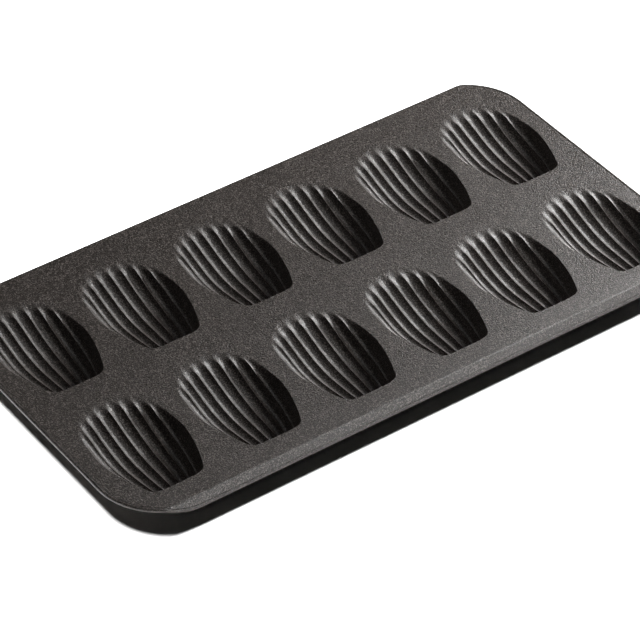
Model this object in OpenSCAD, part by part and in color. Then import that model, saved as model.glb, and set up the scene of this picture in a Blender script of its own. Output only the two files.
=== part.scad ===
// Madeleine pan: a pressed steel sheet with rows of ribbed shell cups, a flange
// folded down along each long side, and an edge curled over a wire.
// Millimetres. X runs along the rows, Y from the narrow end of the cups to the wide end, Z up.
// The origin is on the surface that the pan stands on, under its middle.

/* [Layout] */
// Cups in a row
columns = 6; // [1:1:8]
// Rows of cups
rows = 2; // [1:1:4]
// Distance between cups along a row
column_pitch = 62; // [58:1:80]
// Distance between rows
row_pitch = 96.5; // [90:0.5:120]
// From the axis of an end cup to the outside of the rim
side_margin = 37.5; // [34:0.5:60]
// From the front fold to the narrow end of the first row
front_margin = 12.8; // [8:0.2:30]
// From the wide end of the last row to the back fold
back_margin = 17.5; // [8:0.5:30]

/* [Cup] */
// Length of a cup's mouth
cup_length = 80; // [72:1:86]
// Greatest width of a cup's mouth
cup_width = 53.6; // [44:0.2:56]
// Width of the mouth at the narrow end
hinge_width = 30.6; // [24:0.2:36]
// Width of the mouth where the scalloped end begins
shoulder_width = 49.4; // [40:0.2:50]
// Distance of the widest place from the narrow end
widest_at = 46; // [40:1:50]
// Depth of the cup
cup_depth = 12.8; // [8:0.2:18]
// Distance of the deepest place from the narrow end
deepest_at = 28; // [22:1:34]
// Ridges in the shell, an odd number
ridge_count = 7; // [3:2:7]
// Height of the ridges
ridge_height = 1.9; // [0.6:0.1:2.4]
// How far each flute bulges the scalloped end
scallop = 0.9; // [0:0.1:1.4]

/* [Sheet] */
// Thickness of the steel
sheet_t = 0.6; // [0.4:0.05:0.8]
// Radius of the outside of the corners
corner_radius = 40; // [30:1:44]
// Width of the folded flange, to the outside of the rim
flange_width = 6.5; // [5:0.5:12]
// Angle of the flange below the web
flange_angle = 45; // [20:5:70]
// Outside radius of the fold
bend_radius = 1.1; // [1:0.1:1.2]

/* [Rim] */
// Diameter of the rolled edge
bead_diameter = 2.5; // [2.4:0.1:3]
// Diameter of the wire inside the rolled edge
wire_diameter = 1; // [0.6:0.1:1.1]
// Play between the wire and the curl, on each side
wire_play = 0.05; // [0.02:0.01:0.1]

/* [Hidden] */
$fn = 64;
coat = [0.27, 0.25, 0.24];
steel = [0.62, 0.62, 0.6];

across = 24;
stations = [0, 0.03, 0.08, 0.17, 0.3, 0.45, 0.59, 0.71, 0.82, 0.92, 1];
along = len(stations) - 1;
ridge_span = (ridge_count + 1) / 2;
wall_fullness = 4.5;
end_wall = 2.2;
lip_softness = 0.8;
corner_steps = 5;
bend_steps = 3;
rim_sides = 12;
hinge_corner = 2.4;
guide_start = 30;
guide_bow = 0.2;
side_power = 0.9;
back_power = 1.5;

web_depth = front_margin + (rows - 1) * row_pitch + cup_length + back_margin;
fold_y = web_depth / 2;
half_length = (columns - 1) / 2 * column_pitch + side_margin;
bead_r = bead_diameter / 2;
wire_r = wire_diameter / 2;
bore_r = wire_r + wire_play;

// The line that the middle of the rolled edge follows, laid out flat
path_x = half_length - bead_r;
path_y = fold_y + flange_width - bead_r;
path_r = corner_radius - bead_r;
centre_x = path_x - path_r;
centre_y = path_y - path_r;

// The sheet ends where it meets the wall of the rolled edge, at the middle of its thickness
edge_drop = bend_radius - sheet_t / 2;
edge_inset = sqrt(bead_r * bead_r - edge_drop * edge_drop);
edge_r = path_r - edge_inset;
fold_x = centre_x + sqrt(edge_r * edge_r - (fold_y - centre_y) * (fold_y - centre_y));

column_names = [for (c = [1:columns]) str(c)];
row_names = rows == 2 ? ["front", "back"] : [for (r = [1:rows]) str("row", r)];
function cup_name(r, c) = str("cup_", row_names[r], "_", column_names[c]);

function ease(v) = let (u = min(1, max(0, v))) u * u * (3 - 2 * u);

// 1 on a ridge, 0 in the bottom of a flute, and 0 on the smooth outer margins
function ridge(s) = let (p = abs(s) * ridge_span)
    p > ridge_span - 0.5 ? 0 : 1 - pow(abs(sin(180 * p)), 0.8);

// Half the width of the mouth, y from the narrow end, up to its widest place
function side_half(y) = let (u = min(1, max(0, y) / widest_at))
    hinge_width / 2 + (cup_width - hinge_width) / 2 * sin(90 * pow(u, side_power));

// The scalloped end, s from -1 on the left shoulder to 1 on the right one
function far_x(s) = shoulder_width / 2 * s * (1 + guide_bow * (1 - s * s));
function far_y(s) = let (u = 2 * far_x(s) / cup_width)
    widest_at + (cup_length - scallop - widest_at) * sqrt(1 - u * u) + scallop * (1 - ridge(s));
function near_y(s) = hinge_corner * pow(abs(s), 8);

function depth_along(y, far) = y < deepest_at
    ? 1 - exp(-y / end_wall)
    : pow(max(0, 1 - pow((y - deepest_at) / (far - deepest_at), 2)), back_power);
function depth_across(s) = 1 - pow(abs(s), wall_fullness);
function soften(d) = sqrt(d * d + lip_softness * lip_softness) - lip_softness;

// A point of the inside of the cup, s across and t along
function cup_point(s, t) =
    let (
        y = near_y(s) + (far_y(s) - near_y(s)) * t,
        blend = ease((y - guide_start) / (far_y(s) - guide_start)),
        x = (1 - blend) * s * side_half(y) + blend * far_x(s),
        end = t == 0 || t == 1 || abs(s) == 1,
        base = end ? 0
            : cup_depth * depth_along(y - near_y(s), far_y(s) - near_y(s)) * depth_across(s),
        rib = ridge_height * ridge(s) * ease(base / 4)
    )
    [x, y, -soften(base - rib)];

inside = [for (i = [0:across]) [for (j = [0:along]) cup_point(2 * i / across - 1, stations[j])]];

function unit(v) = v / norm(v);
function facing(i, j) = i == 0 || i == across || j == 0 || j == along
    ? [0, 0, 1]
    : unit(cross(inside[i + 1][j] - inside[i - 1][j], inside[i][j + 1] - inside[i][j - 1]));
outside = [for (i = [0:across]) [for (j = [0:along]) inside[i][j] - sheet_t * facing(i, j)]];

// Height of the web's top face above the surface that the cups stand on
web_top = -min([for (column = outside, p = column) p[2]]);

mouth = concat(
    [for (i = [0:across]) inside[i][0]],
    [for (j = [1:along]) inside[across][j]],
    [for (i = [across - 1:-1:0]) inside[i][along]],
    [for (j = [along - 1:-1:1]) inside[0][j]]
);

function top_id(i, j) = i * (along + 1) + j;
function low_id(i, j) = (across + 1) * (along + 1) + top_id(i, j);

module shell_cup() {
    points = concat([for (column = inside, p = column) p], [for (column = outside, p = column) p]);
    skin = [for (i = [0:across - 1], j = [0:along - 1])
        each [
            [top_id(i, j), top_id(i, j + 1), top_id(i + 1, j + 1)],
            [top_id(i, j), top_id(i + 1, j + 1), top_id(i + 1, j)],
            [low_id(i, j), low_id(i + 1, j + 1), low_id(i, j + 1)],
            [low_id(i, j), low_id(i + 1, j), low_id(i + 1, j + 1)]
        ]];
    ends = [for (i = [0:across - 1])
        each [
            [top_id(i, 0), top_id(i + 1, 0), low_id(i + 1, 0), low_id(i, 0)],
            [top_id(i + 1, along), top_id(i, along), low_id(i, along), low_id(i + 1, along)]
        ]];
    sides = [for (j = [0:along - 1])
        each [
            [top_id(0, j + 1), top_id(0, j), low_id(0, j), low_id(0, j + 1)],
            [top_id(across, j), top_id(across, j + 1), low_id(across, j + 1), low_id(across, j)]
        ]];
    polyhedron(points = points, faces = concat(skin, ends, sides));
}

module at_cup(r, c) {
    translate([
        (c - (columns - 1) / 2) * column_pitch,
        front_margin - fold_y + r * row_pitch,
        web_top
    ])
        children();
}

module cup(r, c) {
    color(coat)
        at_cup(r, c)
            shell_cup();
}

// Turns what is drawn flat beyond a fold down about the middle of its bend
module folded() {
    translate([0, fold_y, web_top - bend_radius])
        rotate([-flange_angle, 0, 0])
            translate([0, -fold_y, bend_radius - web_top])
                children();
}

// The points of one rounded corner, laid out flat, from its side to its long edge
function corner_line(radius) =
    let (first = asin((fold_y - centre_y) / radius))
    [for (a = concat(
        [for (k = [0:corner_steps]) first * k / corner_steps],
        [for (k = [1:corner_steps]) first + (90 - first) * k / corner_steps]
    )) [centre_x + radius * cos(a), centre_y + radius * sin(a)]];
function all_round(corner) = let (last = len(corner) - 1) concat(
    corner,
    [for (k = [last:-1:0]) [-corner[k][0], corner[k][1]]],
    [for (p = corner) -p],
    [for (k = [last:-1:0]) [corner[k][0], -corner[k][1]]]
);

module flat_blank() {
    translate([0, 0, web_top - sheet_t])
        linear_extrude(height = sheet_t)
            polygon(all_round(corner_line(edge_r)));
}

module flange() {
    folded()
        intersection() {
            flat_blank();
            translate([-half_length, fold_y, 0])
                cube([2 * half_length, 2 * flange_width, 2 * web_top]);
        }
}

module bend() {
    arc = [for (k = [0:bend_steps]) let (a = flange_angle * k / bend_steps) [sin(a), cos(a)]];
    translate([-fold_x, fold_y, web_top - bend_radius])
        rotate([90, 0, 90])
            linear_extrude(height = 2 * fold_x)
                polygon(concat(
                    [for (k = [bend_steps:-1:0]) bend_radius * arc[k]],
                    [for (k = [0:bend_steps]) (bend_radius - sheet_t) * arc[k]]
                ));
}

module bent_sheet() {
    union() {
        intersection() {
            flat_blank();
            translate([-half_length, -fold_y, 0])
                cube([2 * half_length, 2 * fold_y, 2 * web_top]);
        }
        for (side = [0, 1])
            mirror([0, side, 0]) {
                bend();
                flange();
            }
    }
}

// The rim's line, laid out flat
route = all_round(corner_line(path_r));

// How far a flat point lies beyond the fold, the same point folded down, and the sheet's normal there
function beyond(p) = abs(p[1]) - fold_y;
function fold_down(p) = let (over = max(0, beyond(p)), side = sign(p[1])) [
    p[0],
    side * (min(abs(p[1]), fold_y) + over * cos(flange_angle)),
    web_top - bend_radius - over * sin(flange_angle)
];
function lean(p) = abs(beyond(p)) < 0.01 ? flange_angle / 2 : beyond(p) > 0 ? flange_angle : 0;
function sheet_normal(p) = [0, sign(p[1]) * sin(lean(p)), cos(lean(p))];

// A round bar of radius r along the whole rim
module rim_bar(r) {
    n = len(route);
    line = [for (p = route) fold_down(p)];
    points = [for (i = [0:n - 1])
        let (
            up = sheet_normal(route[i]),
            out = unit(cross(line[(i + 1) % n] - line[(i + n - 1) % n], up))
        )
        for (k = [0:rim_sides - 1])
            line[i] + r * (cos(360 * k / rim_sides) * out + sin(360 * k / rim_sides) * up)];
    faces = [for (i = [0:n - 1], k = [0:rim_sides - 1])
        let (
            a = i * rim_sides + k,
            b = i * rim_sides + (k + 1) % rim_sides,
            c = ((i + 1) % n) * rim_sides + (k + 1) % rim_sides,
            d = ((i + 1) % n) * rim_sides + k
        )
        each [[a, b, c], [a, c, d]]];
    polyhedron(points = points, faces = faces);
}

module tray_sheet() {
    color(coat)
        difference() {
            bent_sheet();
            for (r = [0:rows - 1], c = [0:columns - 1])
                at_cup(r, c)
                    translate([0, 0, -2 * sheet_t])
                        linear_extrude(height = 4 * sheet_t)
                            polygon([for (p = mouth) [p[0], p[1]]]);
        }
}

module rolled_rim() {
    color(coat)
        difference() {
            rim_bar(bead_r);
            rim_bar(bore_r);
        }
}

module rim_wire() {
    color(steel)
        rim_bar(wire_r);
}

tray_sheet();
rolled_rim();
rim_wire();
for (r = [0:rows - 1], c = [0:columns - 1])
    cup(r, c);
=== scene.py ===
"""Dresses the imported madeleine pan: fine ribbed cups, a smooth rolled rim, coated steel and a studio."""

import math

import bpy
from bpy.props import (
    BoolProperty,
    FloatProperty,
    FloatVectorProperty,
    IntProperty,
    PointerProperty,
)
from bpy.types import Operator, Panel, PropertyGroup
from mathutils import Matrix, Vector
from mathutils.geometry import delaunay_2d_cdt


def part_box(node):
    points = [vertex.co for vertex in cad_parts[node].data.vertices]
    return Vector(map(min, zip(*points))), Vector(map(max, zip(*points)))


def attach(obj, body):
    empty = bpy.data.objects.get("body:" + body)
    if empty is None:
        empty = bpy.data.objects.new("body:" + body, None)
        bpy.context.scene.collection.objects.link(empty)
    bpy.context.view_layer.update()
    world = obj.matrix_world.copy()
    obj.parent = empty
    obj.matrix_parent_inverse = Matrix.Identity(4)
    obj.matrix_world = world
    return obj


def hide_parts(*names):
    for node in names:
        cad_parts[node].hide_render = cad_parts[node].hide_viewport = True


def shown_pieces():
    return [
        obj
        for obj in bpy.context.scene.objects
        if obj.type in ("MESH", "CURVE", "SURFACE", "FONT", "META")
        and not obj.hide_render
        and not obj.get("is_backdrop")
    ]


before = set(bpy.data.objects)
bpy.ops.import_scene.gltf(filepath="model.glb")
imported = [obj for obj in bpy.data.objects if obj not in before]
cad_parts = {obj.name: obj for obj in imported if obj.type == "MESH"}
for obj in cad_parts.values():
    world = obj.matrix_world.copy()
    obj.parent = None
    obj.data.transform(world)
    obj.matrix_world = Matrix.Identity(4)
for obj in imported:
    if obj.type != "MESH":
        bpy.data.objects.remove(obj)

bl_info = {
    "name": "Madeleine Pan",
    "version": (1, 0, 0),
    "blender": (4, 5, 0),
    "location": "3D View > Sidebar > Madeleine Pan",
    "description": "Dresses a pressed baking pan with ribbed shell cups",
    "category": "Object",
}

# The cup's mesh: marks across and along, and finer steps beside the lip, as shares of the whole way
MARKS_ACROSS = 24
MARKS_ALONG = 12
LIP_STEPS = (0.002, 0.005, 0.01, 0.018, 0.03, 0.046)
SIDE_LIP_STEPS = LIP_STEPS[:4]
LIP_ZONE = 0.06
LAST_STEP = 0.99
CUP_SHARP_ANGLE = math.radians(60)

# The cup's shape: how round a ridge is, how many ridges wide the smooth margins are, how square a corner is
RIDGE_ROUNDNESS = 0.8
MARGIN = 0.5
CORNER_POWER = 8

# The sheet's mesh: the rows of points beside a fold and the points in half a row, how far from a fold the
# sheet is flat, how far a mouth reaches from its first point, and the filling that stays inside the outline
FOLD_ROWS = (-0.005, -0.0025, -0.0012, -0.0006, -0.0003, 0, 0.0003, 0.0006, 0.0012, 0.0025)
HALF_ROW = 32
FOLD_REACH = 0.01
MOUTH_REACH = 0.09
TRIANGLES_INSIDE = 2
MERGE_DISTANCE = 1e-7
SHEET_SHARP_ANGLE = math.radians(50)

# The coating: scales are features in a metre, heights are metres
GRAIN_DETAIL = 3
GRAIN_CONTRAST = 0.6
GRAIN_STRENGTH = 1.0
GRAIN_HEIGHT = 0.0004
FLECKS_PER_GRAIN = 1.3
FLECK_DETAIL = 1
FLECK_RANGE = (0.5, 0.68)
NOISE_RANGE = (0.3, 0.7)
CLOUD_SCALE = 14
CLOUD_DETAIL = 3
CLOUD_SHADE = 0.8
ROUGHNESS_SPREAD = 0.07
COAT_SPECULAR = 0.55
RELIEF_SCALE = 260
RELIEF_DETAIL = 2
RELIEF_STRENGTH = 0.12
RELIEF_HEIGHT = 0.0002

# The wire, in the same units
SCRATCH_SCALE = 900
SCRATCH_DETAIL = 4
SCRATCH_CONTRAST = 0.7
SCRATCH_SHADE = 0.7
SCRATCH_STRENGTH = 0.2
SCRATCH_HEIGHT = 0.00005
WIRE_ROUGHNESS = (0.28, 0.45)

# The studio: each lamp's name, place, size, power in watts, and what it shines on
LAMPS = (
    ("floor_light", (-0.1, 1.0, 1.5), (0.7, 0.5), 130, "ground"),
    ("right_softbox", (0.95, 0.15, 0.5), (0.4, 0.3), 20, "pan"),
    ("front_strip", (0.85, -1.2, 1.0), (0.5, 0.2), 20, "pan"),
    ("top_softbox", (0.3, 0.4, 1.7), (0.7, 0.3), 5, "pan"),
)
PAPER_COLOUR = (0.9, 0.9, 0.9, 1)
PAPER_ROUGHNESS = 0.9
WORLD_COLOUR = (1, 1, 1, 1)
WORLD_STRENGTH = 0.006

# The camera: its sensor in millimetres, and the nearest and farthest that it sees, in metres
SENSOR_WIDTH = 36
NEAREST = 0.05
FARTHEST = 50


def length(name, default, text):
    """A setting that is a length in metres"""
    return FloatProperty(name=name, description=text, default=default, unit="LENGTH", subtype="DISTANCE")


def angle(name, default, text):
    """A setting that is an angle in radians"""
    return FloatProperty(name=name, description=text, default=default, unit="ROTATION", subtype="ANGLE")


def number(name, default, text):
    """A setting that is a plain number"""
    return FloatProperty(name=name, description=text, default=default)


def count(name, default, text, lowest):
    """A setting that is a whole number"""
    return IntProperty(name=name, description=text, default=default, min=lowest)


def colour(name, default, text):
    """A setting that is a colour"""
    return FloatVectorProperty(name=name, description=text, default=default, subtype="COLOR")


class CupSettings(PropertyGroup):
    """The shape of one cup and the grid it stands in"""

    columns: count("Columns", 6, "Cups in a row", 1)
    column_pitch: length("Column pitch", 0.062, "Distance between cups along a row")
    front_row: length("Front row", -0.0906, "Where the narrow ends of the front row stand")
    back_row: length("Back row", 0.0059, "Where the narrow ends of the back row stand")
    cup_length: length("Length", 0.08, "Length of a cup's mouth")
    cup_width: length("Width", 0.0536, "Width the sides swell towards, 1 mm more than the mouth's")
    hinge_width: length("Hinge width", 0.0306, "Width of the mouth at the narrow end")
    shoulder_width: length("Shoulder width", 0.0494, "Width where the scalloped end begins")
    widest_at: length("Widest at", 0.046, "How far from the narrow end the sides stop swelling")
    cup_depth: length("Depth", 0.01309, "Depth before the soft lip takes about 1.3 mm off it")
    deepest_at: length("Deepest at", 0.028, "Distance of the deepest place from the narrow end")
    ridge_count: count("Ridges", 7, "Ridges in the shell", 3)
    ridge_height: length("Ridge height", 0.0019, "Height of the ridges")
    scallop: length("Scallop", 0.0021, "How far each flute bulges the scalloped end")
    sheet: length("Sheet", 0.0006, "Thickness of the steel")
    lip: length("Lip softness", 0.0014, "How softly the web rolls into the cup")
    end_wall: length("End wall", 0.0022, "Distance over which the narrow end falls away")
    hinge_corner: length("Hinge corner", 0.0024, "How far the narrow end's corners are set back")
    guide_start: length("Guide start", 0.03, "Where the ridges begin to fan out to the scallops")
    rib_fade: length("Rib fade", 0.0028, "Depth over which the ridges rise")
    guide_bow: number("Guide bow", 0.2, "Crowding of the outer flutes")
    wall_fullness: number("Wall fullness", 4.5, "How upright the walls are")
    side_power: number("Side power", 0.9, "How the sides swell")
    back_power: number("Back power", 1.5, "How the wide end rises")
    fineness: count("Fineness", 4, "Steps between two marks of the mouth", 1)


class RimSettings(PropertyGroup):
    """The line and the thickness of the rolled edge"""

    path_x: length("Half length", 0.19125, "Half the length of the rim's line")
    path_y: length("Half width", 0.10865, "Half the width of the rim's line, laid out flat")
    path_radius: length("Corner radius", 0.03875, "Corner radius of the rim's line")
    fold_y: length("Fold", 0.1034, "Distance of the folds from the middle")
    flange_angle: angle("Flange angle", math.radians(45), "Angle of the flange below the web")
    drop: length("Drop", 0.0011, "Depth of the bead's middle below the web's top face")
    bead_radius: length("Bead radius", 0.001207, "Radius of the rolled edge")
    fold_softness: length("Fold softness", 0.0008, "How softly the rim turns down at the folds")
    sheet_softness: length("Sheet softness", 0.0005, "How softly the sheet turns down at the folds")
    fold_shift: length("Fold shift", 0.000456, "From the start of the bend to the corner it rounds off")
    edge_inset: length("Edge inset", 0.00096, "From the bead's middle to the sheet's edge")
    corner_steps: count("Corner steps", 40, "Steps in a corner", 4)
    sides: count("Sides", 24, "Sides of the bead's section", 8)


class FinishSettings(PropertyGroup):
    """The coated steel and the wire"""

    coat_colour: colour("Coat", (0.0135, 0.0098, 0.0076), "Colour of the coating")
    fleck_colour: colour("Flecks", (0.125, 0.108, 0.098), "Colour of the fine flecks in the coating")
    coat_roughness: number("Coat roughness", 0.33, "Roughness of the coating")
    grain_scale: number("Grain", 1150, "Grains of the coating in a metre")
    wire_colour: colour("Wire", (0.55, 0.54, 0.52), "Colour of the bare steel wire")


class StudioSettings(PropertyGroup):
    """The floor, the lights and the camera"""

    camera_place: FloatVectorProperty(
        name="Camera",
        description="Where the camera stands",
        default=(-0.866996, -1.239760, 1.247998),
        subtype="TRANSLATION",
        unit="LENGTH",
    )
    camera_yaw: angle("Yaw", -0.60893, "Turn of the camera")
    camera_fall: angle("Fall", 0.69573, "Tilt of the camera below level")
    camera_roll: angle("Roll", -0.0094329, "Roll of the camera")
    lens: number("Lens", 198.48, "Focal length in millimetres")
    floor_size: length("Floor", 12.0, "Side of the floor")
    show_lights: BoolProperty(name="Lights", description="Put the lights in", default=True)


def link(thing):
    """Puts an object into the scene"""
    bpy.context.scene.collection.objects.link(thing)
    return thing


def ease(value):
    """A soft step from 0 to 1"""
    part = min(1.0, max(0.0, value))
    return part * part * (3 - 2 * part)


class CupShape:
    """The surface of one cup, s across from -1 to 1 and t along from 0 to 1"""

    def __init__(self, cup):
        self.cup = cup
        self.span = (cup.ridge_count + 1) / 2

    def ridge(self, s):
        """1 on a ridge, 0 in the bottom of a flute and on the smooth margins"""
        place = abs(s) * self.span
        if place > self.span - MARGIN:
            return 0.0
        return 1 - abs(math.sin(math.pi * place)) ** RIDGE_ROUNDNESS

    def side_half(self, y):
        """Half the width that the sides swell towards"""
        cup = self.cup
        part = min(1.0, max(0.0, y) / cup.widest_at)
        swell = math.sin(math.pi / 2 * part**cup.side_power)
        return cup.hinge_width / 2 + (cup.cup_width - cup.hinge_width) / 2 * swell

    def far_x(self, s):
        """Where a ridge or flute ends across the wide end"""
        return self.cup.shoulder_width / 2 * s * (1 + self.cup.guide_bow * (1 - s * s))

    def far_y(self, s):
        """The scalloped line of the wide end"""
        cup = self.cup
        part = 2 * self.far_x(s) / cup.cup_width
        reach = cup.cup_length - cup.scallop - cup.widest_at
        return cup.widest_at + reach * math.sqrt(1 - part * part) + cup.scallop * (1 - self.ridge(s))

    def near_y(self, s):
        """The line of the narrow end"""
        return self.cup.hinge_corner * abs(s) ** CORNER_POWER

    def depth(self, s, y, far):
        """Depth of the flutes' bottoms"""
        cup = self.cup
        if y < cup.deepest_at:
            along = 1 - math.exp(-y / cup.end_wall)
        else:
            rest = 1 - ((y - cup.deepest_at) / (far - cup.deepest_at)) ** 2
            along = max(0.0, rest) ** cup.back_power
        return cup.cup_depth * along * (1 - abs(s) ** cup.wall_fullness)

    def point(self, s, t):
        """A point of the inside"""
        cup = self.cup
        near = self.near_y(s)
        far = self.far_y(s)
        y = near + (far - near) * t
        blend = ease((y - cup.guide_start) / (far - cup.guide_start))
        x = (1 - blend) * s * self.side_half(y) + blend * self.far_x(s)
        if t in (0, 1) or abs(s) == 1:
            return Vector((x, y, 0))
        base = self.depth(s, y - near, far - near)
        base -= cup.ridge_height * self.ridge(s) * ease(base / cup.rib_fade)
        return Vector((x, y, cup.lip - math.hypot(base, cup.lip)))

    def mouth(self):
        """The line round the mouth, counter-clockwise from the left of the narrow end"""
        across = self.across()
        along = self.along()
        loop = [self.point(s, 0.0) for s in across]
        loop += [self.point(1.0, t) for t in along[1:]]
        loop += [self.point(s, 1.0) for s in across[-2::-1]]
        loop += [self.point(-1.0, t) for t in along[-2:0:-1]]
        return loop

    def across(self):
        """The places across at which the mesh has points, closer together beside the lip"""
        steps = MARKS_ACROSS * self.cup.fineness
        values = [2 * i / steps - 1 for i in range(1, steps)]
        values += [side * (1 - step) for side in (-1, 1) for step in SIDE_LIP_STEPS]
        return sorted(set(values + [-1.0, 1.0]))

    def along(self):
        """The places along at which the mesh has points, closer together beside the lip"""
        steps = MARKS_ALONG * self.cup.fineness
        values = [LIP_ZONE + (1 - LIP_ZONE) * i / steps for i in range(steps)]
        values += list(LIP_STEPS) + [0.0, 1.0, LAST_STEP]
        return sorted(set(values))

    def facing(self, inside, i, j):
        """Which way the inside faces at one of its points"""
        if i in (0, len(inside) - 1) or j in (0, len(inside[0]) - 1):
            return Vector((0, 0, 1))
        run = inside[i + 1][j] - inside[i - 1][j]
        rise = inside[i][j + 1] - inside[i][j - 1]
        return run.cross(rise).normalized()

    def mesh(self):
        """Both faces of the shell and the edge between them"""
        across = self.across()
        along = self.along()
        wide = len(across)
        deep = len(along)
        inside = [[self.point(s, t) for t in along] for s in across]
        outside = [
            [inside[i][j] - self.cup.sheet * self.facing(inside, i, j) for j in range(deep)]
            for i in range(wide)
        ]
        points = [point for column in inside + outside for point in column]

        def top(i, j):
            return i * deep + j

        def low(i, j):
            return (wide + i) * deep + j

        faces = []
        for i in range(wide - 1):
            for j in range(deep - 1):
                faces.append((top(i, j), top(i + 1, j), top(i + 1, j + 1), top(i, j + 1)))
                faces.append((low(i, j), low(i, j + 1), low(i + 1, j + 1), low(i + 1, j)))
        last = deep - 1
        for i in range(wide - 1):
            faces.append((low(i, 0), low(i + 1, 0), top(i + 1, 0), top(i, 0)))
            faces.append((top(i, last), top(i + 1, last), low(i + 1, last), low(i, last)))
        last = wide - 1
        for j in range(deep - 1):
            faces.append((low(0, j + 1), low(0, j), top(0, j), top(0, j + 1)))
            faces.append((low(last, j), low(last, j + 1), top(last, j + 1), top(last, j)))
        mesh = bpy.data.meshes.new("cup")
        mesh.from_pydata(points, [], faces)
        mesh.shade_smooth()
        mesh.set_sharp_from_angle(angle=CUP_SHARP_ANGLE)
        return mesh


class Tree:
    """A Geometry Nodes tree with named inputs"""

    def __init__(self, name):
        self.tree = bpy.data.node_groups.new(name, "GeometryNodeTree")
        self.tree.is_modifier = True
        self.sockets = {}
        self.add_input("Geometry", "NodeSocketGeometry")
        self.tree.interface.new_socket("Geometry", in_out="OUTPUT", socket_type="NodeSocketGeometry")
        self.start = self.tree.nodes.new("NodeGroupInput")
        self.end = self.tree.nodes.new("NodeGroupOutput")

    def add_input(self, name, kind):
        """Gives the tree one more named input"""
        self.sockets[name] = self.tree.interface.new_socket(name, in_out="INPUT", socket_type=kind)

    def node(self, kind, **inputs):
        """A node with its inputs joined or set, where an underscore stands for a space in a name"""
        node = self.tree.nodes.new(kind)
        for name, source in inputs.items():
            self.join(source, node.inputs[name.replace("_", " ")])
        return node

    def join(self, source, target):
        """Joins a socket to a socket, or sets a plain value"""
        if isinstance(source, bpy.types.NodeSocket):
            self.tree.links.new(source, target)
        else:
            target.default_value = source

    def given(self, name):
        """The tree's own input of that name"""
        return self.start.outputs[name]

    def finish(self, geometry):
        """Ends the tree in Realize Instances and Set Material"""
        real = self.node("GeometryNodeRealizeInstances", Geometry=geometry)
        painted = self.node("GeometryNodeSetMaterial", Geometry=real.outputs[0])
        self.join(self.given("Material"), painted.inputs["Material"])
        self.join(painted.outputs[0], self.end.inputs[0])

    def apply(self, piece, values):
        """Runs the tree on the piece and leaves a plain mesh"""
        modifier = piece.modifiers.new(self.tree.name, "NODES")
        modifier.node_group = self.tree
        for name, value in values.items():
            modifier[self.sockets[name].identifier] = value
        bpy.context.view_layer.update()
        graph = bpy.context.evaluated_depsgraph_get()
        mesh = bpy.data.meshes.new_from_object(piece.evaluated_get(graph), depsgraph=graph)
        piece.modifiers.clear()
        piece.data = mesh


def row_tree():
    """One row of cups from one cup"""
    rows = Tree("Cup row")
    rows.add_input("Columns", "NodeSocketInt")
    rows.add_input("Start", "NodeSocketVector")
    rows.add_input("Step", "NodeSocketVector")
    rows.add_input("Material", "NodeSocketMaterial")
    line = rows.node(
        "GeometryNodeMeshLine",
        Count=rows.given("Columns"),
        Start_Location=rows.given("Start"),
        Offset=rows.given("Step"),
    )
    spots = rows.node("GeometryNodeMeshToPoints", Mesh=line.outputs[0])
    cups = rows.node("GeometryNodeInstanceOnPoints", Points=spots.outputs[0])
    rows.join(rows.given("Geometry"), cups.inputs["Instance"])
    rows.finish(cups.outputs[0])
    return rows


def rim_tree():
    """A round bar along a closed line"""
    bar = Tree("Rolled rim")
    bar.add_input("Radius", "NodeSocketFloat")
    bar.add_input("Sides", "NodeSocketInt")
    bar.add_input("Material", "NodeSocketMaterial")
    line = bar.node("GeometryNodeMeshToCurve", Mesh=bar.given("Geometry"))
    section = bar.node("GeometryNodeCurvePrimitiveCircle", Resolution=bar.given("Sides"))
    bar.join(bar.given("Radius"), section.inputs["Radius"])
    tube = bar.node("GeometryNodeCurveToMesh", Curve=line.outputs[0])
    bar.join(section.outputs[0], tube.inputs["Profile Curve"])
    bar.finish(tube.outputs[0])
    return bar


class Shader:
    """A material's nodes, with numbers set straight on the sockets"""

    # A mix node has sockets for every kind of value: these are its share, its two colours and its result
    MIX_INPUTS = (0, 6, 7)
    MIX_COLOUR = 2

    def __init__(self, name):
        self.material = bpy.data.materials.new(name)
        self.material.use_nodes = True
        self.tree = self.material.node_tree
        self.surface = self.tree.nodes["Principled BSDF"]
        self.place = self.tree.nodes.new("ShaderNodeTexCoord").outputs["Object"]

    def set(self, node, name, source):
        """Joins a socket to a node's input, or sets a plain value there"""
        if isinstance(source, bpy.types.NodeSocket):
            self.tree.links.new(source, node.inputs[name])
        else:
            node.inputs[name].default_value = source

    def noise(self, scale, detail, roughness=0.5):
        """Noise that lies fixed on the object"""
        node = self.tree.nodes.new("ShaderNodeTexNoise")
        self.set(node, "Vector", self.place)
        self.set(node, "Scale", scale)
        self.set(node, "Detail", detail)
        self.set(node, "Roughness", roughness)
        return node.outputs[0]

    def ramp(self, value, source, target=(0.0, 1.0)):
        """Stretches the source range onto the target range"""
        node = self.tree.nodes.new("ShaderNodeMapRange")
        self.set(node, "Value", value)
        for name, limit in zip(("From Min", "From Max", "To Min", "To Max"), (*source, *target)):
            self.set(node, name, limit)
        return node.outputs[0]

    def mix(self, factor, first, second):
        """Goes from the first colour to the second"""
        node = self.tree.nodes.new("ShaderNodeMix")
        node.data_type = "RGBA"
        share, first_colour, second_colour = (node.inputs[k] for k in self.MIX_INPUTS)
        self.tree.links.new(factor, share)
        for socket, source in ((first_colour, first), (second_colour, second)):
            if isinstance(source, bpy.types.NodeSocket):
                self.tree.links.new(source, socket)
            else:
                socket.default_value = (*source, 1)
        return node.outputs[self.MIX_COLOUR]

    def bump(self, height, strength, distance, before=None):
        """Fine relief, on top of the relief before it"""
        node = self.tree.nodes.new("ShaderNodeBump")
        self.set(node, "Height", height)
        self.set(node, "Strength", strength)
        self.set(node, "Distance", distance)
        if before:
            self.set(node, "Normal", before)
        return node.outputs[0]


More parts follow.
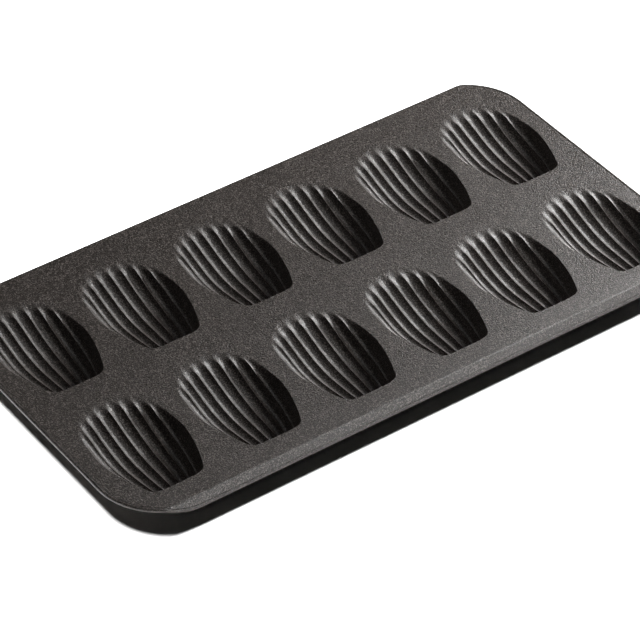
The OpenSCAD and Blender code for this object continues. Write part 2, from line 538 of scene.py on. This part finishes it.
def coated_steel(finish):
    """Dark baked coating with a fine grain and small pale flecks"""
    coat = Shader("pan_coating")
    grain = coat.noise(finish.grain_scale, GRAIN_DETAIL, GRAIN_CONTRAST)
    flecks = coat.noise(finish.grain_scale * FLECKS_PER_GRAIN, FLECK_DETAIL)
    clouds = coat.noise(CLOUD_SCALE, CLOUD_DETAIL)
    shaded = tuple(channel * CLOUD_SHADE for channel in finish.coat_colour)
    ground = coat.mix(coat.ramp(clouds, NOISE_RANGE), shaded, finish.coat_colour)
    flecked = coat.mix(coat.ramp(flecks, FLECK_RANGE), ground, finish.fleck_colour)
    coat.set(coat.surface, "Base Color", flecked)
    roughness = (finish.coat_roughness - ROUGHNESS_SPREAD, finish.coat_roughness + ROUGHNESS_SPREAD)
    coat.set(coat.surface, "Roughness", coat.ramp(grain, NOISE_RANGE, roughness))
    coat.set(coat.surface, "Specular IOR Level", COAT_SPECULAR)
    relief = coat.bump(coat.noise(RELIEF_SCALE, RELIEF_DETAIL), RELIEF_STRENGTH, RELIEF_HEIGHT)
    coat.set(coat.surface, "Normal", coat.bump(grain, GRAIN_STRENGTH, GRAIN_HEIGHT, relief))
    return coat.material


def bare_wire(finish):
    """Drawn steel wire with fine scratches"""
    wire = Shader("drawn_wire")
    scratches = wire.noise(SCRATCH_SCALE, SCRATCH_DETAIL, SCRATCH_CONTRAST)
    dull = tuple(channel * SCRATCH_SHADE for channel in finish.wire_colour)
    wire.set(wire.surface, "Base Color", wire.mix(scratches, dull, finish.wire_colour))
    wire.set(wire.surface, "Metallic", 1.0)
    wire.set(wire.surface, "Roughness", wire.ramp(scratches, NOISE_RANGE, WIRE_ROUGHNESS))
    wire.set(wire.surface, "Normal", wire.bump(scratches, SCRATCH_STRENGTH, SCRATCH_HEIGHT))
    return wire.material


def coating():
    """The coating's material, made once"""
    return bpy.data.materials.get("pan_coating") or coated_steel(bpy.context.scene.pan_finish)


def web_height():
    """Height of the web's top face"""
    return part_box("tray_sheet")[1].z


class PAN_OT_cups(Operator):
    """Make the two rows of ribbed shell cups"""

    bl_idname = "pan.cups"
    bl_label = "Cups"

    def execute(self, context):
        cup = context.scene.pan_cup
        first = -(cup.columns - 1) / 2 * cup.column_pitch
        rows = row_tree()
        for row, y in (("front", cup.front_row), ("back", cup.back_row)):
            piece = link(bpy.data.objects.new(f"shell_cups_{row}", CupShape(cup).mesh()))
            rows.apply(
                piece,
                {
                    "Columns": cup.columns,
                    "Start": (first, y, web_height()),
                    "Step": (cup.column_pitch, 0.0, 0.0),
                    "Material": coating(),
                },
            )
            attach(piece, "root")
            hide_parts(*[f"cup_{row}_{column}" for column in range(1, cup.columns + 1)])
        return {"FINISHED"}


def rounded_outline(rim, radius, extra=0.0):
    """The flat outline with its corners rounded, extra added to it beyond the folds"""
    centre_x = rim.path_x - rim.path_radius
    centre_y = rim.path_y - rim.path_radius
    quarter = []
    for k in range(rim.corner_steps + 1):
        turn = math.pi / 2 * k / rim.corner_steps
        x = centre_x + radius * math.cos(turn)
        y = centre_y + radius * math.sin(turn)
        quarter.append((x, y + extra if y > rim.fold_y else y))
    turned = quarter[::-1]
    outline = quarter + [(-x, y) for x, y in turned]
    return outline + [(-x, -y) for x, y in outline]


def folded(rim, point, fold, softness, height, sink=0.0):
    """Where a flat point lies once the flanges are turned down, sink below the sheet's top face"""
    x, y = point
    beyond = abs(y) - fold
    if beyond < -FOLD_REACH:
        return (x, y, height - sink)
    reach = math.hypot(beyond, softness)
    over = (beyond + reach) / 2
    lean = rim.flange_angle * (1 + beyond / reach) / 2
    out = abs(y) - over * (1 - math.cos(rim.flange_angle)) - sink * math.sin(lean)
    down = over * math.sin(rim.flange_angle) + sink * math.cos(lean)
    return (x, math.copysign(out, y), height - down)


def rim_line(rim, web_top):
    """The rim's line, turned down at the folds"""
    flat = rounded_outline(rim, rim.path_radius)
    return [folded(rim, point, rim.fold_y, rim.fold_softness, web_top - rim.drop) for point in flat]


def covers(loop, triangle, spots):
    """Whether the middle of a triangle lies inside a loop"""
    x, y = sum((spots[k] for k in triangle), Vector((0, 0))) / 3
    if abs(x - loop[0][0]) > MOUTH_REACH or abs(y - loop[0][1]) > MOUTH_REACH:
        return False
    inside = False
    for (ax, ay), (bx, by) in zip(loop, loop[1:] + loop[:1]):
        if (ay > y) != (by > y) and x < ax + (bx - ax) * (y - ay) / (by - ay):
            inside = not inside
    return inside


def sheet_loops(cup, rim):
    """The sheet's flat outline, and the line round each hole"""
    loops = [rounded_outline(rim, rim.path_radius - rim.edge_inset, 2 * rim.fold_shift)]
    mouth = CupShape(cup).mouth()
    for row in (cup.front_row, cup.back_row):
        for column in range(cup.columns):
            middle = (column - (cup.columns - 1) / 2) * cup.column_pitch
            loops.append([(point.x + middle, point.y + row) for point in mouth])
    return loops


def fold_spots(rim, fold):
    """Points in rows beside the folds, where the sheet bends"""
    corner = rim.path_radius - rim.edge_inset
    rise = rim.fold_y - rim.path_y + rim.path_radius
    reach = rim.path_x - rim.path_radius + math.sqrt(corner**2 - rise**2) - rim.edge_inset
    places = [reach * k / HALF_ROW for k in range(-HALF_ROW, HALF_ROW + 1)]
    return [Vector((x, side * (fold + row))) for row in FOLD_ROWS for side in (-1, 1) for x in places]


def ring_edges(loops):
    """The edges of closed loops whose points are numbered one after the other"""
    edges = []
    start = 0
    for loop in loops:
        size = len(loop)
        edges += [(start + i, start + (i + 1) % size) for i in range(size)]
        start += size
    return edges


def sheet_mesh(cup, rim, web_top):
    """The web and its two flanges, with a hole for each cup"""
    fold = rim.fold_y + rim.fold_shift
    loops = sheet_loops(cup, rim)
    spots = [Vector(point) for loop in loops for point in loop] + fold_spots(rim, fold)
    filled = delaunay_2d_cdt(spots, ring_edges(loops), [], TRIANGLES_INSIDE, MERGE_DISTANCE)
    flat = filled[0]
    skin = [tuple(t) for t in filled[2] if not any(covers(loop, t, flat) for loop in loops[1:])]
    used = dict.fromkeys(pair for a, b, c in skin for pair in ((a, b), (b, c), (c, a)))
    size = len(flat)
    points = [folded(rim, p, fold, rim.sheet_softness, web_top) for p in flat]
    points += [folded(rim, p, fold, rim.sheet_softness, web_top, cup.sheet) for p in flat]
    faces = skin + [(c + size, b + size, a + size) for a, b, c in skin]
    faces += [(b, a, a + size, b + size) for a, b in used if (b, a) not in used]
    mesh = bpy.data.meshes.new("pressed_sheet")
    mesh.from_pydata(points, [], faces)
    mesh.shade_smooth()
    mesh.set_sharp_from_angle(angle=SHEET_SHARP_ANGLE)
    return mesh


class PAN_OT_rim(Operator):
    """Make the smooth rolled rim"""

    bl_idname = "pan.rim"
    bl_label = "Rolled Rim"

    def execute(self, context):
        rim = context.scene.pan_rim
        points = rim_line(rim, web_height())
        mesh = bpy.data.meshes.new("rim_line")
        mesh.from_pydata(points, ring_edges([points]), [])
        piece = link(bpy.data.objects.new("rolled_edge", mesh))
        values = {
            "Radius": rim.bead_radius,
            "Sides": rim.sides,
            "Material": coating(),
        }
        rim_tree().apply(piece, values)
        piece.data.shade_smooth()
        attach(piece, "root")
        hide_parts("rolled_rim")
        return {"FINISHED"}


class PAN_OT_sheet(Operator):
    """Make the pressed sheet and give the rim wire its finish"""

    bl_idname = "pan.sheet"
    bl_label = "Sheet and Wire"

    def execute(self, context):
        scene = context.scene
        mesh = sheet_mesh(scene.pan_cup, scene.pan_rim, web_height())
        mesh.materials.append(coating())
        piece = link(bpy.data.objects.new("pressed_sheet", mesh))
        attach(piece, "root")
        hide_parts("tray_sheet")
        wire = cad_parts["rim_wire"].data
        wire.materials.clear()
        wire.materials.append(bare_wire(scene.pan_finish))
        return {"FINISHED"}


def area_light(name, place, size, power, shines_on):
    """A soft light aimed at the pan's middle that shines on the objects of one collection"""
    light = bpy.data.lights.new(name, "AREA")
    light.shape = "RECTANGLE"
    light.size, light.size_y = size
    light.energy = power
    lamp = link(bpy.data.objects.new(name, light))
    turn = Vector(place).to_track_quat("Z", "Y").to_matrix().to_4x4()
    lamp.matrix_world = Matrix.Translation(place) @ turn
    lamp.light_linking.receiver_collection = shines_on
    lamp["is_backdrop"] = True


class PAN_OT_studio(Operator):
    """Put in the floor, the lights and the camera"""

    bl_idname = "pan.studio"
    bl_label = "Studio"

    def execute(self, context):
        scene = context.scene
        studio = scene.pan_studio
        floor = self.floor(studio)
        if studio.show_lights:
            self.lights(floor)
        world = bpy.data.worlds.new("studio_world")
        scene.world = world
        world.use_nodes = True
        background = world.node_tree.nodes["Background"]
        background.inputs["Color"].default_value = WORLD_COLOUR
        background.inputs["Strength"].default_value = WORLD_STRENGTH
        scene.view_settings.view_transform = "Standard"
        self.camera(scene, studio)
        return {"FINISHED"}

    def floor(self, studio):
        """A sheet of white paper that the pan stands on"""
        half = studio.floor_size / 2
        mesh = bpy.data.meshes.new("floor")
        corners = [(-half, -half, 0), (half, -half, 0), (half, half, 0), (-half, half, 0)]
        mesh.from_pydata(corners, [], [(0, 1, 2, 3)])
        floor = link(bpy.data.objects.new("studio_floor", mesh))
        paper = Shader("floor_paper")
        paper.set(paper.surface, "Base Color", PAPER_COLOUR)
        paper.set(paper.surface, "Roughness", PAPER_ROUGHNESS)
        paper.set(paper.surface, "Specular IOR Level", 0.0)
        mesh.materials.append(paper.material)
        floor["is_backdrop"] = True
        return floor

    def lights(self, floor):
        """Lamps for the pan, and one for the floor"""
        lit = {"ground": [floor], "pan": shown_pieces()}
        groups = {}
        for name, members in lit.items():
            groups[name] = bpy.data.collections.new(name)
            for member in members:
                groups[name].objects.link(member)
        for name, place, size, power, group in LAMPS:
            area_light(name, place, size, power, groups[group])

    def camera(self, scene, studio):
        """The camera, with the photograph's place, tilt and lens"""
        yaw = studio.camera_yaw
        fall = studio.camera_fall
        flat = math.cos(fall)
        ahead = Vector((-math.sin(yaw) * flat, math.cos(yaw) * flat, -math.sin(fall)))
        level = Vector((math.cos(yaw), math.sin(yaw), 0))
        upward = level.cross(ahead)
        roll = studio.camera_roll
        right = math.cos(roll) * level + math.sin(roll) * upward
        up = math.cos(roll) * upward - math.sin(roll) * level
        data = bpy.data.cameras.new("photo_camera")
        data.lens = studio.lens
        data.sensor_width = SENSOR_WIDTH
        data.clip_start = NEAREST
        data.clip_end = FARTHEST
        camera = link(bpy.data.objects.new("photo_camera", data))
        turn = Matrix((right, up, -ahead)).transposed().to_4x4()
        camera.matrix_world = Matrix.Translation(studio.camera_place) @ turn
        scene.camera = camera


class PAN_PT_panel(Panel):
    """The pan's settings and steps"""

    bl_idname = "PAN_PT_panel"
    bl_label = "Madeleine Pan"
    bl_space_type = "VIEW_3D"
    bl_region_type = "UI"
    bl_category = "Madeleine Pan"

    def draw(self, context):
        layout = self.layout
        layout.use_property_split = True
        for name, step in STEPS.items():
            box = layout.box()
            settings = getattr(context.scene, name)
            for key in settings.__annotations__:
                box.prop(settings, key)
            box.operator(step.bl_idname)


STEPS = {
    "pan_cup": PAN_OT_cups,
    "pan_rim": PAN_OT_rim,
    "pan_finish": PAN_OT_sheet,
    "pan_studio": PAN_OT_studio,
}
GROUPS = {
    "pan_cup": CupSettings,
    "pan_rim": RimSettings,
    "pan_finish": FinishSettings,
    "pan_studio": StudioSettings,
}
CLASSES = (*GROUPS.values(), *STEPS.values(), PAN_PT_panel)


def register():
    """Makes the settings, steps and panel known"""
    for item in CLASSES:
        bpy.utils.register_class(item)
    for name, group in GROUPS.items():
        setattr(bpy.types.Scene, name, PointerProperty(type=group))


def unregister():
    """Takes them away again"""
    for name in GROUPS:
        delattr(bpy.types.Scene, name)
    for item in reversed(CLASSES):
        bpy.utils.unregister_class(item)


def main():
    """Dresses the pan"""
    register()
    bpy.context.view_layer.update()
    bpy.ops.pan.cups()
    bpy.ops.pan.rim()
    bpy.ops.pan.sheet()
    bpy.ops.pan.studio()


if __name__ == "__main__":
    main()
